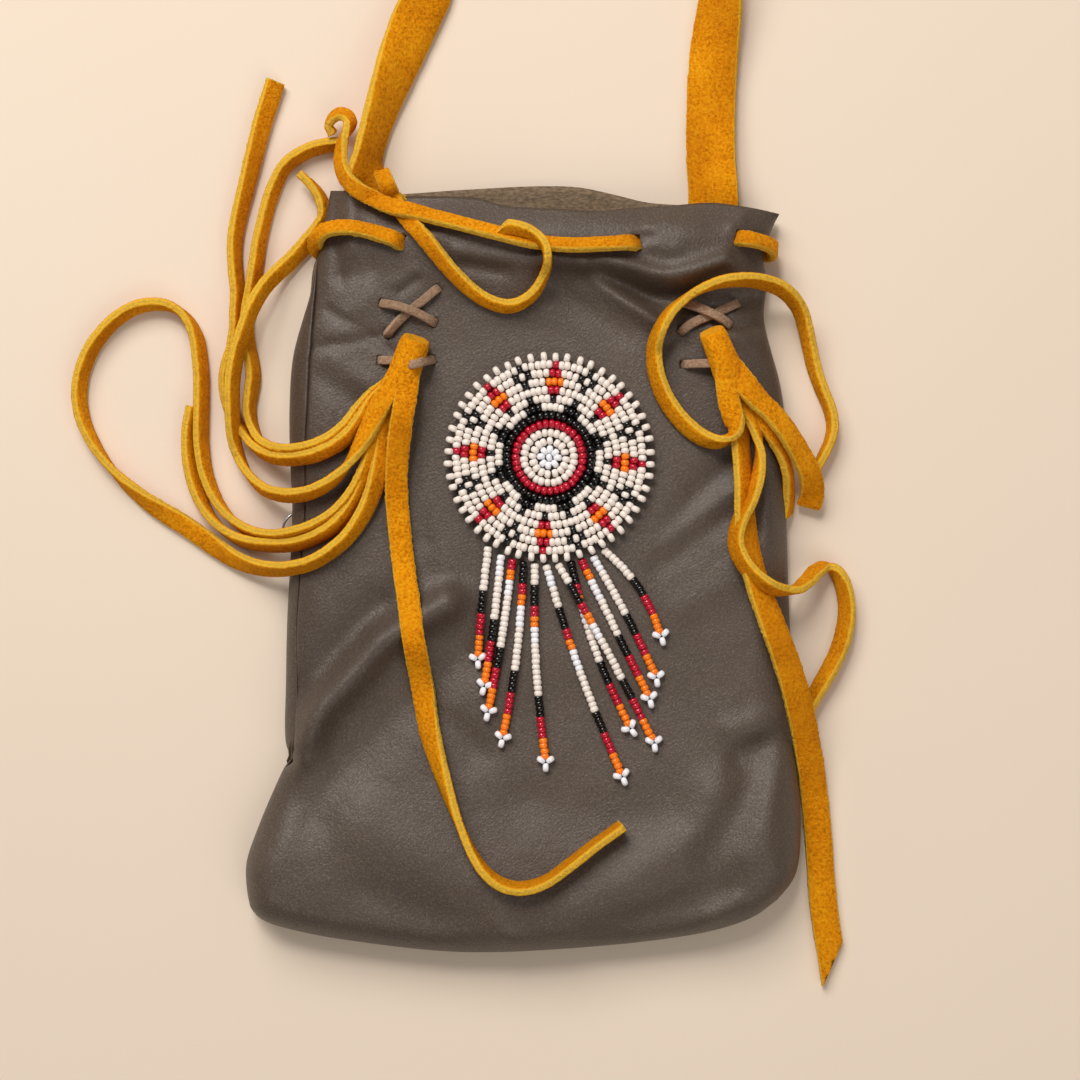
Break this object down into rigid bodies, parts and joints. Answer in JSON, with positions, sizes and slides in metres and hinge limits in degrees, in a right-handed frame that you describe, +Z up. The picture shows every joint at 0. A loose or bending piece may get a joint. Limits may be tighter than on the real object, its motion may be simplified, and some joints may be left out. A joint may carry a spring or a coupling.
{
  "type": "beaded phone pouch",
  "caption": "Soft leather drawstring phone pouch lying flat, with a beaded rosette and bead fringe, rolled suede tassels and a suede shoulder strap.",
  "frame": {"origin": "on the table under the middle of the pouch, which lies on its back", "axes": "+Z up from the table, +Y from the base toward the mouth, +X to the right as seen from above"},
  "size_m": [0.1973, 0.3714, 0.0223],
  "materials": {
    "taupe_leather": "soft smooth grain",
    "golden_suede": "napped suede",
    "tan_lace": "matt",
    "backing_felt": "matt",
    "cotton_tape": "woven",
    "silver_wire": "bright",
    "cream_beads": "gloss, opaque",
    "white_beads": "gloss, opaque",
    "red_beads": "gloss, opaque",
    "black_beads": "gloss, opaque"
  },
  "bodies": {
    "root": {"back_panel": "taupe_leather", "bead_ring_01": "white_beads", "bead_ring_02": "cream_beads", "bead_ring_03": "cream_beads", "bead_ring_04": "red_beads", "bead_ring_05": "black_beads", "bead_ring_06": "black_beads", "bead_ring_07": "cream_beads", "bead_ring_08": "cream_beads", "bead_ring_09": "cream_beads", "bead_ring_10": "cream_beads", "bead_ring_11": "cream_beads", "drawstring": "golden_suede", "edge_ring": "silver_wire", "fringe_strand_01": "cream_beads", "fringe_strand_02": "cream_beads", "fringe_strand_03": "cream_beads", "fringe_strand_04": "cream_beads", "fringe_strand_05": "cream_beads", "fringe_strand_06": "cream_beads", "fringe_strand_07": "cream_beads", "fringe_strand_08": "cream_beads", "fringe_strand_09": "cream_beads", "fringe_strand_10": "cream_beads", "fringe_strand_11": "cream_beads", "front_panel": "taupe_leather", "left_lacing_bar": "tan_lace", "left_lacing_lower": "tan_lace", "left_lacing_upper": "tan_lace", "left_tassel_head": "golden_suede", "left_tassel_strand_1": "golden_suede", "left_tassel_strand_2": "golden_suede", "left_tassel_strand_3": "golden_suede", "left_tassel_strand_4": "golden_suede", "left_tassel_strand_5": "golden_suede", "left_tassel_strand_6": "golden_suede", "left_tassel_strand_7": "golden_suede", "picot_edging": "cream_beads", "right_lacing_bar": "tan_lace", "right_lacing_lower": "tan_lace", "right_lacing_upper": "tan_lace", "right_tassel_head": "golden_suede", "right_tassel_strand_1": "golden_suede", "right_tassel_strand_2": "golden_suede", "right_tassel_strand_3": "golden_suede", "right_tassel_strand_4": "golden_suede", "right_tassel_strand_5": "golden_suede", "rosette_backing": "backing_felt", "strap_coil": "golden_suede", "strap_left_run": "golden_suede", "strap_right_run": "golden_suede", "strap_tie": "cotton_tape"}
  },
  "joints": []
}
